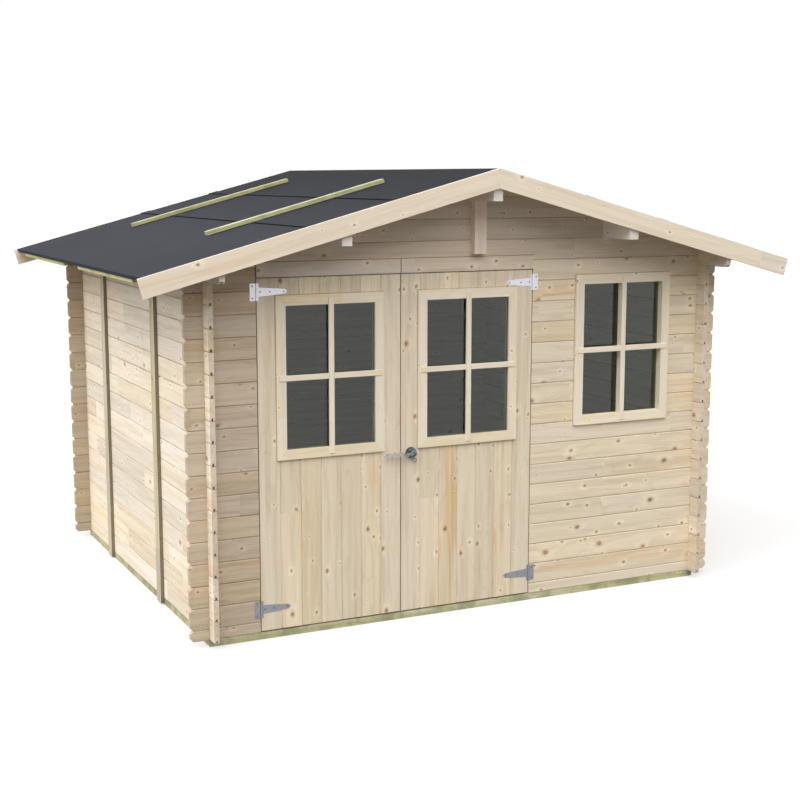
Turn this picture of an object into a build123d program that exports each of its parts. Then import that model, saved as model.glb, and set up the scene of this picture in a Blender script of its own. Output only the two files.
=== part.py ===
from build123d import *
from math import ceil, cos, radians, sin, tan
import os

# Garden shed of interlocking wall logs under a shallow felted gable roof.
# Millimetres. X runs along the front wall, Y to the back, Z up from the ground.
# The origin is on the ground, under the ridge and halfway along the roof.

# Wall logs
log_thickness = 28.0
log_cover = 114.0
edge_bevel = 4.0
tongue_width = 9.0
tongue_height = 10.0
tongue_play = 0.5
groove_depth = 14.0
end_bevel = 15.0
bed_gap = 0.4
notch_play = 0.3

# Walls, between the centre lines of the logs
wall_width = 2986.0
wall_depth = 2510.0
side_log_projection = 88.0
cross_log_projection = 114.0

# Base rails
base_height = 36.0
base_width = 56.0

# Roof
roof_pitch = 14.9
eave_log_height = 130.0
front_overhang = 295.0
back_overhang = 150.0
eave_overhang = 412.0
barge_depth = 98.0
barge_thickness = 16.0
eave_setback = 23.0
deck_thickness = 16.0
felt_thickness = 3.0
felt_ridge_half_width = 554.0
felt_middle_width = 492.0
felt_lap = 60.0
felt_lip = 16.0
purlin_width = 53.0
purlin_height = 140.0
purlin_offset = 848.0
seat_gap = 0.4

# Treated battens on the roof, under the eaves and on the side walls
batten_width = 45.0
batten_thickness = 20.0
felt_batten_length = 1058.0
felt_batten_start = 300.0
felt_batten_front = 498.0
felt_batten_back = 1950.0
eave_batten_length = 1115.0
eave_batten_parting = 324.0
brace_width = 80.0
brace_thickness = 20.0
brace_front = 832.0
brace_back = 1916.0
brace_clearance = 8.0
ridge_block_width = 70.0
ridge_block_thickness = 46.0
ridge_block_clearance = 14.0
ridge_block_offset = 20.0

# Doorway and leaves
doorway_from_corner = 261.0
leaf_width = 794.5
leaf_height = 1820.0
leaf_board_count = 7
leaf_thickness = 19.0
leaf_gap = 5.0
leaf_floor_gap = 8.0
board_groove = 3.0
ledge_width = 95.0
ledge_thickness = 19.0
ledge_inset = 15.0
ledge_end_inset = 60.0
header_height = 75.0
header_thickness = 19.0
header_proud = 6.0
header_top_gap = 2.0
door_post_width = 70.0
door_post_thickness = 28.0
door_post_lap = 18.0

# Windows
trim_width = 52.0
leaf_trim_thickness = 12.0
leaf_trim_side_margin = 97.0
leaf_trim_top_margin = 88.0
leaf_sight_height = 738.0
glass_lap = 10.0
glass_thickness = 3.0
glass_play = 1.0
window_off_middle = 30.5
wall_sight_width = 527.0
wall_trim_thickness = 15.0
window_frame_thickness = 28.0
window_frame_depth = 45.0
window_glass_setback = 25.0
window_row_count = 7
mitre_gap = 0.4

# Tee hinges
hinge_plate_width = 34.0
hinge_plate_height = 88.0
hinge_sheet = 2.5
knuckle_radius = 4.5
knuckle_gap = 0.5
strap_length = 163.0
strap_root_width = 10.0
strap_root_height = 46.0
strap_tip_height = 24.0
strap_point_height = 4.0
hinge_above_foot = 116.0
hinge_below_top = 67.0

# Lever handle
handle_inset = 57.0
handle_below_trim = 22.0
rose_radius = 30.0
rose_thickness = 8.0
hub_radius = 18.0
hub_length = 31.0
hub_play = 0.4
lever_length = 160.0
lever_root_height = 12.0
lever_tip_height = 18.0
lever_thickness = 9.0

# Places that follow from the sizes above
half_thickness = log_thickness / 2
notch_depth = (log_cover + bed_gap) / 2
half_width = wall_width / 2
roof_length = front_overhang + wall_depth + back_overhang
roof_front = -roof_length / 2
roof_back = roof_length / 2
front_line = roof_front + front_overhang
back_line = roof_back - back_overhang
wall_foot = base_height
slope = tan(radians(roof_pitch))
cover_drop = (deck_thickness + felt_thickness) / cos(radians(roof_pitch))
leaf_bottom = wall_foot + leaf_floor_gap
leaf_top = leaf_bottom + leaf_height
header_bottom = leaf_top + leaf_gap
doorway_top = header_bottom + header_height + header_top_gap
side_log_count = ceil((doorway_top - wall_foot) / log_cover) - 1
side_wall_top = wall_foot + side_log_count * log_cover
ridge_top = side_wall_top + eave_log_height + slope * half_width + cover_drop
barge_reach = half_width + eave_overhang
eave_edge = barge_reach - eave_setback
roof_board_front = roof_front + barge_thickness
roof_board_back = roof_back - barge_thickness
front_face = front_line - half_thickness
door_left = doorway_from_corner - half_width
door_centre = door_left + leaf_width + 1.5 * leaf_gap
door_right = door_centre + leaf_width + 1.5 * leaf_gap
hinge_heights = (leaf_bottom + hinge_above_foot, leaf_top - hinge_below_top)


def deck_underside(x):
    """Height of the underside of the roof boards at a distance from the ridge."""
    return ridge_top - cover_drop - slope * abs(x)


def block(x, y, z):
    """A rectangular piece between two places along each axis."""
    size = (x[1] - x[0], y[1] - y[0], z[1] - z[0])
    return Pos(x[0], y[0], z[0]) * Box(*size, align=(Align.MIN, Align.MIN, Align.MIN))


def across(outline, near, far):
    """An outline in X and Z carried from one Y to another."""
    face = Plane.XZ.offset(-near) * make_face(Polyline(*outline, close=True))
    return extrude(face, near - far)


def along(outline, left, right):
    """An outline in Y and Z carried from one X to another."""
    face = Plane.YZ.offset(left) * make_face(Polyline(*outline, close=True))
    return extrude(face, right - left)


def other_side(piece):
    """The same piece on the other side of the ridge line."""
    return mirror(piece, about=Plane.YZ)


def log_section(height, groove=True, tongue=True):
    """End section of a log: a bevelled outer face, a groove below and a tongue on top."""
    half_groove = tongue_width / 2 + tongue_play
    half_tongue = tongue_width / 2
    low = bed_gap / 2
    high = height - bed_gap / 2
    roof = low + groove_depth
    crest = high + tongue_height
    points = [(-half_thickness, low + edge_bevel), (edge_bevel - half_thickness, low)]
    if groove:
        points += [(-half_groove, low), (-half_groove, roof)]
        points += [(half_groove, roof), (half_groove, low)]
    points += [(half_thickness, low), (half_thickness, high)]
    if tongue:
        points += [(half_tongue, high), (half_tongue, crest)]
        points += [(-half_tongue, crest), (-half_tongue, high)]
    points += [(edge_bevel - half_thickness, high), (-half_thickness, high - edge_bevel)]
    return points


def notch(centre, edge, depth):
    """Corners of a notch where another log crosses, from one side of that log to the other."""
    left = centre - half_thickness - notch_play
    right = centre + half_thickness + notch_play
    return [(left, edge), (left, depth), (right, depth), (right, edge)]


def log_end(edge, corner, inward, height, bevel):
    """Lower and upper outline of one end of a log, both read inward from the end.

    An end that passes a corner is bevelled, or cut square where the bevel is 0. Its underside is
    notched, to sit down over half of the log that it crosses, and its tongue stops inside the corner.
    """
    low = bed_gap / 2
    shoulder = height - bed_gap / 2
    crest = shoulder + tongue_height
    if corner is None:
        return [(edge, low)], [(edge, crest)]
    lower = [(edge, low + bevel), (edge + inward * bevel, low)] if bevel else [(edge, low)]
    if height > notch_depth:
        lower += notch(corner, low, notch_depth)[::inward]
    stop = corner + inward * (half_thickness + notch_play)
    upper = [(edge, shoulder - bevel), (edge + inward * bevel, shoulder)] if bevel else [(edge, shoulder)]
    upper += [(stop, shoulder), (stop, crest)]
    return lower, upper


def log_outline(start, end, height, corners, bevel=end_bevel):
    """Side outline of a log. Each of its two corners is None where the log stops at an opening."""
    lower_start, upper_start = log_end(start, corners[0], 1, height, bevel)
    lower_end, upper_end = log_end(end, corners[1], -1, height, bevel)
    return lower_start + lower_end[::-1] + upper_end + upper_start[::-1]


def cut_log(runs_back, centre, foot, section, outline):
    """A log is its end section carried along its length and cut to its side outline."""
    section = [(centre + side, foot + height) for side, height in section]
    outline = [(place, foot + height) for place, height in outline]
    start = min(place for place, height in outline)
    end = max(place for place, height in outline)
    faces = (centre - log_thickness, centre + log_thickness)
    if runs_back:
        return across(section, start, end) & along(outline, *faces)
    return along(section, start, end) & across(outline, *faces)


def cross_row_foot(row):
    """Bottom of a log row in the front and back walls, which start with a half log."""
    return wall_foot + max(row - 0.5, 0) * log_cover


def cross_log(line, row, start, end, corners):
    """One log of a front or back wall row. The half log at the foot lies under the first side logs."""
    height = log_cover if row else log_cover / 2
    section = log_section(height, groove=row > 0)
    outline = log_outline(start, end, height, corners)
    return cut_log(False, line, cross_row_foot(row), section, outline)


def side_wall():
    """The left wall: full logs that pass the corners, under one long log that carries the eaves."""
    start = front_line - side_log_projection
    end = back_line + side_log_projection
    outline = log_outline(start, end, log_cover, (front_line, back_line), bevel=0)
    logs = []
    for row in range(side_log_count):
        foot = wall_foot + row * log_cover
        logs.append(cut_log(True, -half_width, foot, log_section(log_cover), outline))
    return logs + [eave_log()]


def eave_log():
    """The long top log, planed to the roof slope and notched under the last cross logs too."""
    outer = deck_underside(half_width + half_thickness) - side_wall_top - seat_gap
    inner = deck_underside(half_width - half_thickness) - side_wall_top - seat_gap
    foot = [point for point in log_section(log_cover, tongue=False) if point[1] < log_cover / 2]
    section = foot + [(half_thickness, inner), (-half_thickness, outer)]
    low = bed_gap / 2
    seat = log_cover - bed_gap / 2
    outline = [(roof_board_front, low + end_bevel), (roof_board_front + end_bevel, low)]
    outline += notch(front_line, low, notch_depth) + notch(back_line, low, notch_depth)
    outline += [(roof_board_back - end_bevel, low), (roof_board_back, low + end_bevel)]
    outline.append((roof_board_back, inner))
    outline += notch(back_line, inner, seat)[::-1] + notch(front_line, inner, seat)[::-1]
    outline.append((roof_board_front, inner))
    return cut_log(True, -half_width, side_wall_top, section, outline)


def roof_space(near, far):
    """Everything under the roof boards between two places along the ridge."""
    reach = barge_reach
    eave = deck_underside(reach) - seat_gap
    peak = deck_underside(0) - seat_gap
    return across([(-reach, 0), (reach, 0), (reach, eave), (0, peak), (-reach, eave)], near, far)


def purlin_section(centre, play=0.0):
    """Section of a purlin planed to the roof slope, or of the hole that it passes through."""
    left = centre - purlin_width / 2 - play
    right = centre + purlin_width / 2 + play
    foot = purlin_foot(centre) - play
    gap = seat_gap - play
    top = [(right, deck_underside(right) - gap), (left, deck_underside(left) - gap)]
    if centre == 0:
        top.insert(1, (0, deck_underside(0) - gap))
    return [(left, foot), (right, foot)] + top


def purlin_foot(centre):
    """Underside of a purlin."""
    highest = max(abs(centre) - purlin_width / 2, purlin_width / 2 if centre == 0 else 0)
    return deck_underside(highest) - purlin_height


def purlin(centre):
    return across(purlin_section(centre), roof_board_front, roof_board_back)


def gable(line, doorway):
    """The cross logs above the eaves, cut to the roof slope and round the purlins."""
    near, far = line - log_thickness, line + log_thickness
    purlins = (-purlin_offset, 0, purlin_offset)
    holes = [across(purlin_section(centre, seat_gap), near, far) for centre in purlins]
    if doorway:
        holes.append(block((door_left, door_right), (near, far), (0, doorway_top)))
    first_row = side_log_count + 1
    row_count = int((deck_underside(0) - cross_row_foot(first_row)) / log_cover) + 1
    shortest_offcut = 3 * purlin_width
    logs = []
    for row in range(first_row, first_row + row_count):
        reach = (deck_underside(0) - cross_row_foot(row)) / slope
        corners = (None, None)
        if row == first_row:
            reach = half_width + cross_log_projection
            corners = (-half_width, half_width)
        whole = cross_log(line, row, -reach, reach, corners)
        cut = whole & roof_space(near, far)
        for hole in holes:
            cut -= hole
        logs += [piece for piece in cut.solids() if piece.bounding_box().size.X > shortest_offcut]
    return logs


def front_left_wall():
    start = -half_width - cross_log_projection
    rows = range(side_log_count + 1)
    return [cross_log(front_line, row, start, door_left, (-half_width, None)) for row in rows]


def front_right_wall():
    """Logs from the doorway to the right corner, parted by the window."""
    end = half_width + cross_log_projection
    faces = (front_line - half_thickness, front_line + half_thickness)
    height = (window_foot - bed_gap / 2, window_head - bed_gap / 2)
    hole = block((window_left, window_right), faces, height)
    logs = []
    for row in range(side_log_count + 1):
        whole = cross_log(front_line, row, door_right, end, (None, half_width))
        beside_window = window_first_row - 1 <= row < window_first_row + window_row_count
        logs += (whole - hole).solids() if beside_window else [whole]
    return logs


def back_wall():
    end = half_width + cross_log_projection
    corners = (-half_width, half_width)
    logs = [cross_log(back_line, row, -end, end, corners) for row in range(side_log_count + 1)]
    return logs + gable(back_line, False)


def base_rails():
    """Rails flush with the outside of the walls, the long ones at the front and back."""
    outer_x = half_width + half_thickness
    rails = []
    for line, inward in ((front_line, 1), (back_line, -1)):
        face = line - inward * half_thickness
        inner = face + inward * base_width
        rails.append(block((-outer_x, outer_x), (min(face, inner), max(face, inner)), (0, base_height)))
    near = front_line - half_thickness + base_width + seat_gap
    far = back_line + half_thickness - base_width - seat_gap
    left = block((-outer_x, base_width - outer_x), (near, far), (0, base_height))
    return rails + [left, other_side(left)]


def slope_point(distance, rise):
    """A point of the left slope, by its distance down from the ridge and its height off the boards."""
    angle = radians(roof_pitch)
    deck_peak = ridge_top - felt_thickness / cos(angle)
    z = deck_peak - distance * sin(angle) + rise * cos(angle)
    return (-distance * cos(angle) - rise * sin(angle), z)


def slope_length(x):
    return x / cos(radians(roof_pitch))


def roof_deck():
    """Left roof boards, with a plumb cut at the ridge and a square one at the eaves."""
    gap = seat_gap / 2
    foot = deck_underside(gap)
    peak = foot + deck_thickness / cos(radians(roof_pitch))
    end = slope_length(eave_edge)
    outline = [(-gap, peak), slope_point(end, 0), slope_point(end, -deck_thickness), (-gap, foot)]
    return across(outline, roof_board_front, roof_board_back)


def felt_eave():
    """The lowest felt course, turned down over the ends of the boards."""
    start = felt_ridge_half_width + felt_middle_width
    end = slope_length(eave_edge) + seat_gap
    outer = end + felt_thickness
    outline = [slope_point(start, 0), slope_point(start, felt_thickness)]
    outline += [slope_point(outer, felt_thickness), slope_point(outer, -felt_lip)]
    outline += [slope_point(end, -felt_lip), slope_point(end, 0)]
    return across(outline, roof_board_front, roof_board_back)


def felt_step(edge, rise):
    """The stepped lower edge of a felt course that laps over the course below it."""
    top = rise + felt_thickness
    inner_turn = edge - felt_lap - bed_gap
    outer_turn = inner_turn - felt_thickness
    upper = [(outer_turn, felt_thickness), (outer_turn, top), (edge, top)]
    lower = [(edge, rise), (inner_turn, rise), (inner_turn, 0)]
    return [slope_point(distance, height) for distance, height in upper + lower]


def felt_middle():
    """The middle felt course: it lies on the boards and laps over the eave course."""
    start = felt_ridge_half_width
    edge = felt_ridge_half_width + felt_middle_width + felt_lap
    outline = [slope_point(start, 0), slope_point(start, felt_thickness)]
    outline += felt_step(edge, felt_thickness + bed_gap)
    return across(outline, roof_board_front, roof_board_back)


def felt_ridge():
    """One strip bent over the ridge, lapping over the middle course on each slope."""
    left = felt_step(felt_ridge_half_width + felt_lap, felt_thickness + bed_gap)
    right = [(-x, z) for x, z in reversed(left)]
    deck_peak = ridge_top - felt_thickness / cos(radians(roof_pitch))
    outline = [(0, ridge_top)] + left + [(0, deck_peak)] + right
    return across(outline, roof_board_front, roof_board_back)


def barge_board(near):
    """Left barge board: plumb cut at the ridge, square cut at the lower end."""
    angle = radians(roof_pitch)
    tip = (-barge_reach, ridge_top - slope * barge_reach)
    heel = (tip[0] + barge_depth * sin(angle), tip[1] - barge_depth * cos(angle))
    gap = seat_gap / 2
    peak = ridge_top - slope * gap
    outline = [(-gap, peak), tip, heel, (-gap, peak - barge_depth / cos(angle))]
    return across(outline, near, near + barge_thickness)


def slope_batten(start, end, rise, width, near):
    """A batten that lies on the left slope, or under it with a negative rise."""
    low, high = sorted((rise, 0))
    lift = felt_thickness + felt_thickness + 2 * bed_gap if rise > 0 else -deck_thickness
    outline = [slope_point(place, lift + height) for place, height in
               ((start, low), (end, low), (end, high), (start, high))]
    return across(outline, near, near + width)


def felt_battens():
    """Two battens down each slope, which hold the felt against the wind."""
    end = felt_batten_start + felt_batten_length
    left = []
    for place in (felt_batten_front, felt_batten_back):
        near = front_line + place - batten_width / 2
        left.append(slope_batten(felt_batten_start, end, batten_thickness, batten_width, near))
    return left + [other_side(piece) for piece in left]


def eave_battens():
    """Treated battens under the ends of the roof boards, two short ones along each eave."""
    end = slope_length(eave_edge)
    left = []
    for near in (-eave_batten_parting / 2 - eave_batten_length, eave_batten_parting / 2):
        left.append(slope_batten(end - batten_width, end, -batten_thickness, eave_batten_length, near))
    return left + [other_side(piece) for piece in left]


def storm_braces():
    """Upright battens screwed outside each side wall, from the base rail to the roof."""
    face = half_width + half_thickness
    top = deck_underside(face + brace_thickness) - brace_clearance
    left = []
    for place in (brace_front, brace_back):
        near = front_line + place - brace_width / 2
        depth = (near, near + brace_width)
        left.append(block((-face - brace_thickness, -face), depth, (brace_clearance, top)))
    return left + [other_side(piece) for piece in left]


def ridge_block(near):
    """A block fixed to the gable under the ridge purlin."""
    left = ridge_block_offset - ridge_block_width / 2
    depth = (near, near + ridge_block_thickness)
    height = (doorway_top + ridge_block_clearance, purlin_foot(0) - seat_gap)
    return block((left, left + ridge_block_width), depth, height)


def trim_frame(x, z, width, near, far):
    """Four mitred boards round an opening. x and z are the edges of the opening."""
    pieces = []
    gap = mitre_gap / 2
    corners = [(x[0], z[0]), (x[1], z[0]), (x[1], z[1]), (x[0], z[1])]
    outward = [(-1, -1), (1, -1), (1, 1), (-1, 1)]
    for first in range(4):
        second = (first + 1) % 4
        start, end = corners[first], corners[second]
        way = ((1, 0), (0, 1), (-1, 0), (0, -1))[first]
        start = (start[0] + gap * way[0], start[1] + gap * way[1])
        end = (end[0] - gap * way[0], end[1] - gap * way[1])
        start_out = (start[0] + width * outward[first][0], start[1] + width * outward[first][1])
        end_out = (end[0] + width * outward[second][0], end[1] + width * outward[second][1])
        pieces.append(across([start, end, end_out, start_out], near, far))
    return pieces


# Wall window, in a hole that takes out whole log rows
window_first_row = side_log_count - window_row_count
wall_window_centre = (door_right + half_width) / 2 + window_off_middle
window_left = wall_window_centre - wall_sight_width / 2 - window_frame_thickness
window_right = wall_window_centre + wall_sight_width / 2 + window_frame_thickness
window_foot = cross_row_foot(window_first_row)
window_head = cross_row_foot(window_first_row + window_row_count)
sight_x = (window_left + window_frame_thickness, window_right - window_frame_thickness)
sight_z = (window_foot + window_frame_thickness, window_head - window_frame_thickness)


def window_frame():
    """Lining of the window hole, standing a little into the room."""
    width = window_frame_thickness - bed_gap
    return trim_frame(sight_x, sight_z, width, front_face, front_face + window_frame_depth)


def window_glass():
    """One pane between the lining boards, set back behind the trim."""
    near = front_face + window_glass_setback
    return block(sight_x, (near, near + glass_thickness), sight_z)


def leaf_sight(centre):
    """Edges of a leaf's glass in X and Z."""
    reach = leaf_width / 2 - leaf_trim_side_margin - trim_width
    top = leaf_top - leaf_trim_top_margin - trim_width
    return (centre - reach, centre + reach), (top - leaf_sight_height, top)


def grown(span, amount):
    return (span[0] - amount, span[1] + amount)


def leaf_boards(left):
    """Upright boards of a leaf, with a bevelled joint between each pair, round the window hole."""
    right = left + leaf_width
    pitch = leaf_width / leaf_board_count
    near, far = front_face, front_face + leaf_thickness
    outline = [(left, near)]
    for joint in range(1, leaf_board_count):
        place = left + joint * pitch
        outline += [(place - board_groove, near), (place, near + board_groove)]
        outline.append((place + board_groove, near))
    outline += [(right, near), (right, far), (left, far)]
    slab = extrude(Plane.XY.offset(leaf_bottom) * make_face(Polyline(*outline, close=True)), leaf_height)
    x, z = leaf_sight((left + right) / 2)
    return slab - block(grown(x, glass_lap), grown((near, far), 1), grown(z, glass_lap))


def leaf_ledges(left):
    """Level boards across the inside of a leaf: at the foot, under the window and at the head."""
    near = front_face + leaf_thickness
    depth = (near, near + ledge_thickness)
    x = (left + ledge_end_inset, left + leaf_width - ledge_end_inset)
    sight = leaf_sight(left + leaf_width / 2)[1]
    middle_foot = sight[0] - trim_width - ledge_inset - ledge_width
    feet = (leaf_bottom + ledge_inset, middle_foot, leaf_top - ledge_inset - ledge_width)
    return [block(x, depth, (foot, foot + ledge_width)) for foot in feet]


def leaf_trim(left):
    """Mitred boards round the glass, outside and inside the leaf."""
    x, z = leaf_sight(left + leaf_width / 2)
    outer = trim_frame(x, z, trim_width, front_face - leaf_trim_thickness, front_face)
    inner_face = front_face + leaf_thickness
    inner = trim_frame(x, z, trim_width / 2, inner_face, inner_face + leaf_trim_thickness)
    return outer + inner


def leaf_glass(left):
    x, z = leaf_sight(left + leaf_width / 2)
    near = front_face + glass_play
    size = glass_lap - glass_play
    return block(grown(x, size), (near, near + glass_thickness), grown(z, size))


def hinge_axis(side):
    """X of a leaf's hinge pins, in the middle of the gap beside it. side is -1 on the left."""
    return door_centre + side * (leaf_width + leaf_gap)


pin_line = front_face - knuckle_radius


def knuckle(side, low, high):
    centre = Pos(hinge_axis(side), pin_line, low)
    return centre * Cylinder(knuckle_radius, high - low, align=(Align.CENTER, Align.CENTER, Align.MIN))


def hinge_plates(side):
    """Wall halves of a leaf's two tee hinges, each a plate with an upper and a lower knuckle."""
    plates = []
    for middle in hinge_heights:
        low, high = middle - hinge_plate_height / 2, middle + hinge_plate_height / 2
        third = hinge_plate_height / 3
        x = sorted((hinge_axis(side), hinge_axis(side) + side * hinge_plate_width))
        plate = block(x, (front_face - hinge_sheet, front_face), (low, high))
        window = block(grown((hinge_axis(side), hinge_axis(side)), knuckle_radius + knuckle_gap),
                       grown((pin_line, front_face), knuckle_radius), (low + third, high - third))
        knuckles = knuckle(side, low, low + third) + knuckle(side, high - third, high)
        plates.append(plate - window + knuckles)
    return plates


def hinge_straps(side):
    """Leaf halves of the tee hinges: a middle knuckle, a root plate and a tapering strap."""
    straps = []
    axis = hinge_axis(side)
    for middle in hinge_heights:
        third = hinge_plate_height / 3
        low, high = middle - hinge_plate_height / 2 + third, middle + hinge_plate_height / 2 - third
        root_start = axis - side * (knuckle_radius - knuckle_gap)
        root_end = axis - side * (leaf_gap / 2 + strap_root_width)
        tip = axis - side * strap_length
        tip_half = strap_tip_height / 2
        point_half = strap_point_height / 2
        root_half = strap_root_height / 2
        outline = [(root_end, middle - root_half), (tip + side * tip_half, middle - tip_half),
                   (tip, middle - point_half), (tip, middle + point_half),
                   (tip + side * tip_half, middle + tip_half), (root_end, middle + root_half)]
        strap = across(outline, front_face - hinge_sheet, front_face)
        depth = (front_face - hinge_sheet, front_face)
        edge = axis - side * (knuckle_radius + knuckle_gap)
        height = hinge_plate_height / 2
        strap += block(sorted((edge, root_end)), depth, (middle - height, middle + height))
        strap += block(sorted((axis, root_start)), depth, (low + knuckle_gap, high - knuckle_gap))
        strap += knuckle(side, low + knuckle_gap, high - knuckle_gap)
        straps.append(strap)
    return straps


def header_boards():
    """Two boards that close the doorway above the leaves, parted over the meeting line."""
    near = front_face - header_proud
    depth = (near, near + header_thickness)
    z = (header_bottom, header_bottom + header_height)
    left = block((door_left + leaf_gap, door_centre - leaf_gap / 2), depth, z)
    right = block((door_centre + leaf_gap / 2, door_right - seat_gap), depth, z)
    return [left, right]


def door_posts():
    """Posts behind the ends of the doorway logs, a head board, and packing behind the header boards."""
    near = front_line + half_thickness
    depth = (near, near + door_post_thickness)
    left = (door_left + door_post_lap - door_post_width, door_left + door_post_lap)
    right = (door_right - door_post_lap, door_right - door_post_lap + door_post_width)
    foot = wall_foot + seat_gap
    head_foot = header_bottom - door_post_lap
    head = (head_foot, head_foot + door_post_width + log_cover / 2)
    posts = [block(x, depth, (foot, head[1])) for x in (left, right)]
    head_board = block((left[1] + seat_gap, right[0] - seat_gap), depth, head)
    packing_depth = (front_face - header_proud + header_thickness, near)
    packing_height = (header_bottom, header_bottom + header_height)
    packing = block((door_left + leaf_gap, door_right - leaf_gap), packing_depth, packing_height)
    return posts + [head_board, packing]


handle_x = door_centre + leaf_gap / 2 + handle_inset
handle_z = leaf_sight(0)[1][0] - trim_width - handle_below_trim


def turned_plate(radius, near, far):
    """A round piece on the axis of the handle, between two places in Y."""
    centre = Pos(handle_x, far, handle_z) * Rot(90, 0, 0)
    return centre * Cylinder(radius, far - near, align=(Align.CENTER, Align.CENTER, Align.MIN))


def lock_rose():
    """Round plate on the right leaf, behind the hub of the lever."""
    return turned_plate(rose_radius, front_face - rose_thickness, front_face)


def lever_handle():
    """Hub in front of the rose and a flat lever that widens towards its tip."""
    far = front_face - rose_thickness - hub_play
    near = far - hub_length
    root, tip = lever_root_height / 2, lever_tip_height / 2
    end = handle_x - lever_length
    outline = [(handle_x, handle_z - root), (handle_x, handle_z + root), (end + tip, handle_z + tip),
               (end, handle_z + tip / 2), (end, handle_z - tip / 2), (end + tip, handle_z - tip)]
    return turned_plate(hub_radius, near, far) + across(outline, near, near + lever_thickness)


left_leaf = door_centre - leaf_gap / 2 - leaf_width
right_leaf = door_centre + leaf_gap / 2
left_wall = side_wall()
left_purlin = purlin(-purlin_offset)
left_deck = roof_deck()
left_felt_eave = felt_eave()
left_felt_middle = felt_middle()
front_barge = barge_board(roof_front)
back_barge = barge_board(roof_board_back)
trim_face = (front_face - wall_trim_thickness, front_face)
front_block = ridge_block(front_face - ridge_block_thickness)
back_block = ridge_block(back_line + half_thickness)

nodes = {
    "base_rails": base_rails(),
    "left_wall_logs": left_wall,
    "right_wall_logs": [other_side(log) for log in left_wall],
    "back_wall_logs": back_wall(),
    "front_left_logs": front_left_wall(),
    "front_right_logs": front_right_wall(),
    "front_gable_logs": gable(front_line, True),
    "ridge_purlin": [purlin(0)],
    "left_purlin": [left_purlin],
    "right_purlin": [other_side(left_purlin)],
    "left_roof_deck": [left_deck],
    "right_roof_deck": [other_side(left_deck)],
    "left_felt_eave": [left_felt_eave],
    "right_felt_eave": [other_side(left_felt_eave)],
    "left_felt_middle": [left_felt_middle],
    "right_felt_middle": [other_side(left_felt_middle)],
    "felt_ridge": [felt_ridge()],
    "felt_battens": felt_battens(),
    "front_left_barge": [front_barge],
    "front_right_barge": [other_side(front_barge)],
    "back_left_barge": [back_barge],
    "back_right_barge": [other_side(back_barge)],
    "eave_battens": eave_battens(),
    "storm_braces": storm_braces(),
    "ridge_blocks": [front_block, back_block],
    "window_trim": trim_frame(sight_x, sight_z, trim_width, *trim_face),
    "window_frame": window_frame(),
    "window_glass": [window_glass()],
    "door_header_boards": header_boards(),
    "door_posts": door_posts(),
    "hinge_plates": hinge_plates(-1) + hinge_plates(1),
    "left_leaf_boards": [leaf_boards(left_leaf)],
    "left_leaf_ledges": leaf_ledges(left_leaf),
    "left_leaf_trim": leaf_trim(left_leaf),
    "left_leaf_glass": [leaf_glass(left_leaf)],
    "left_hinge_straps": hinge_straps(-1),
    "right_leaf_boards": [leaf_boards(right_leaf)],
    "right_leaf_ledges": leaf_ledges(right_leaf),
    "right_leaf_trim": leaf_trim(right_leaf),
    "right_leaf_glass": [leaf_glass(right_leaf)],
    "right_hinge_straps": hinge_straps(1),
    "lock_rose": [lock_rose()],
    "lever_handle": [lever_handle()],
}

os.makedirs("parts", exist_ok=True)
for name, pieces in nodes.items():
    solids = [solid for piece in pieces for solid in piece.solids()]
    export_step(Compound(children=solids), f"parts/{name}.step")
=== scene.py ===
import math

import bpy
from mathutils import Matrix, Vector


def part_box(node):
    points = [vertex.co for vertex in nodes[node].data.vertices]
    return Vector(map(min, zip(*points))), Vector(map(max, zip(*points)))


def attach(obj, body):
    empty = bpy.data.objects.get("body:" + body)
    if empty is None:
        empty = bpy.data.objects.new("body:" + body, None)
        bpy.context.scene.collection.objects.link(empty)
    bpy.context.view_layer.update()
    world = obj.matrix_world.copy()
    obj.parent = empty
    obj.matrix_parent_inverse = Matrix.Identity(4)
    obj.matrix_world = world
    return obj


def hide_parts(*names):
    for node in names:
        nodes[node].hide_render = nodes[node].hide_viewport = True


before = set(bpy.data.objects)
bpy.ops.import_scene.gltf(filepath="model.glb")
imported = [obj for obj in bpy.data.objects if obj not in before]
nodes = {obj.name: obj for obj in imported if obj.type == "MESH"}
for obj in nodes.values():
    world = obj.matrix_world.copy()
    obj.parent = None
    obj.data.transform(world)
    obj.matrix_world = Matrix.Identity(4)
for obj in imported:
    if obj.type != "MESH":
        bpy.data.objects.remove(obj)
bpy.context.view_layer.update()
bpy.ops.object.select_all(action="DESELECT")


# Base rails
# Four sawn rails of pressure-treated pine lie on the ground under the walls. The treatment
# leaves them yellow-green, with rough saw marks across the grain.

treated_light = (0.64, 0.62, 0.40, 1)
treated_dark = (0.34, 0.34, 0.17, 1)
# Brown for painted shade with some dust in grooves, and for painted shadow round frames.
dust_and_shade_brown = (0.20, 0.135, 0.08, 1)
knot_dark = (0.19, 0.12, 0.08, 1)
knot_red = (0.40, 0.22, 0.12, 1)
knot_ring = (0.66, 0.45, 0.26, 1)
knot_surround = (1.22, 1.24, 1.27, 1)
heartwood = (0.98, 0.80, 0.62, 1)


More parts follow.
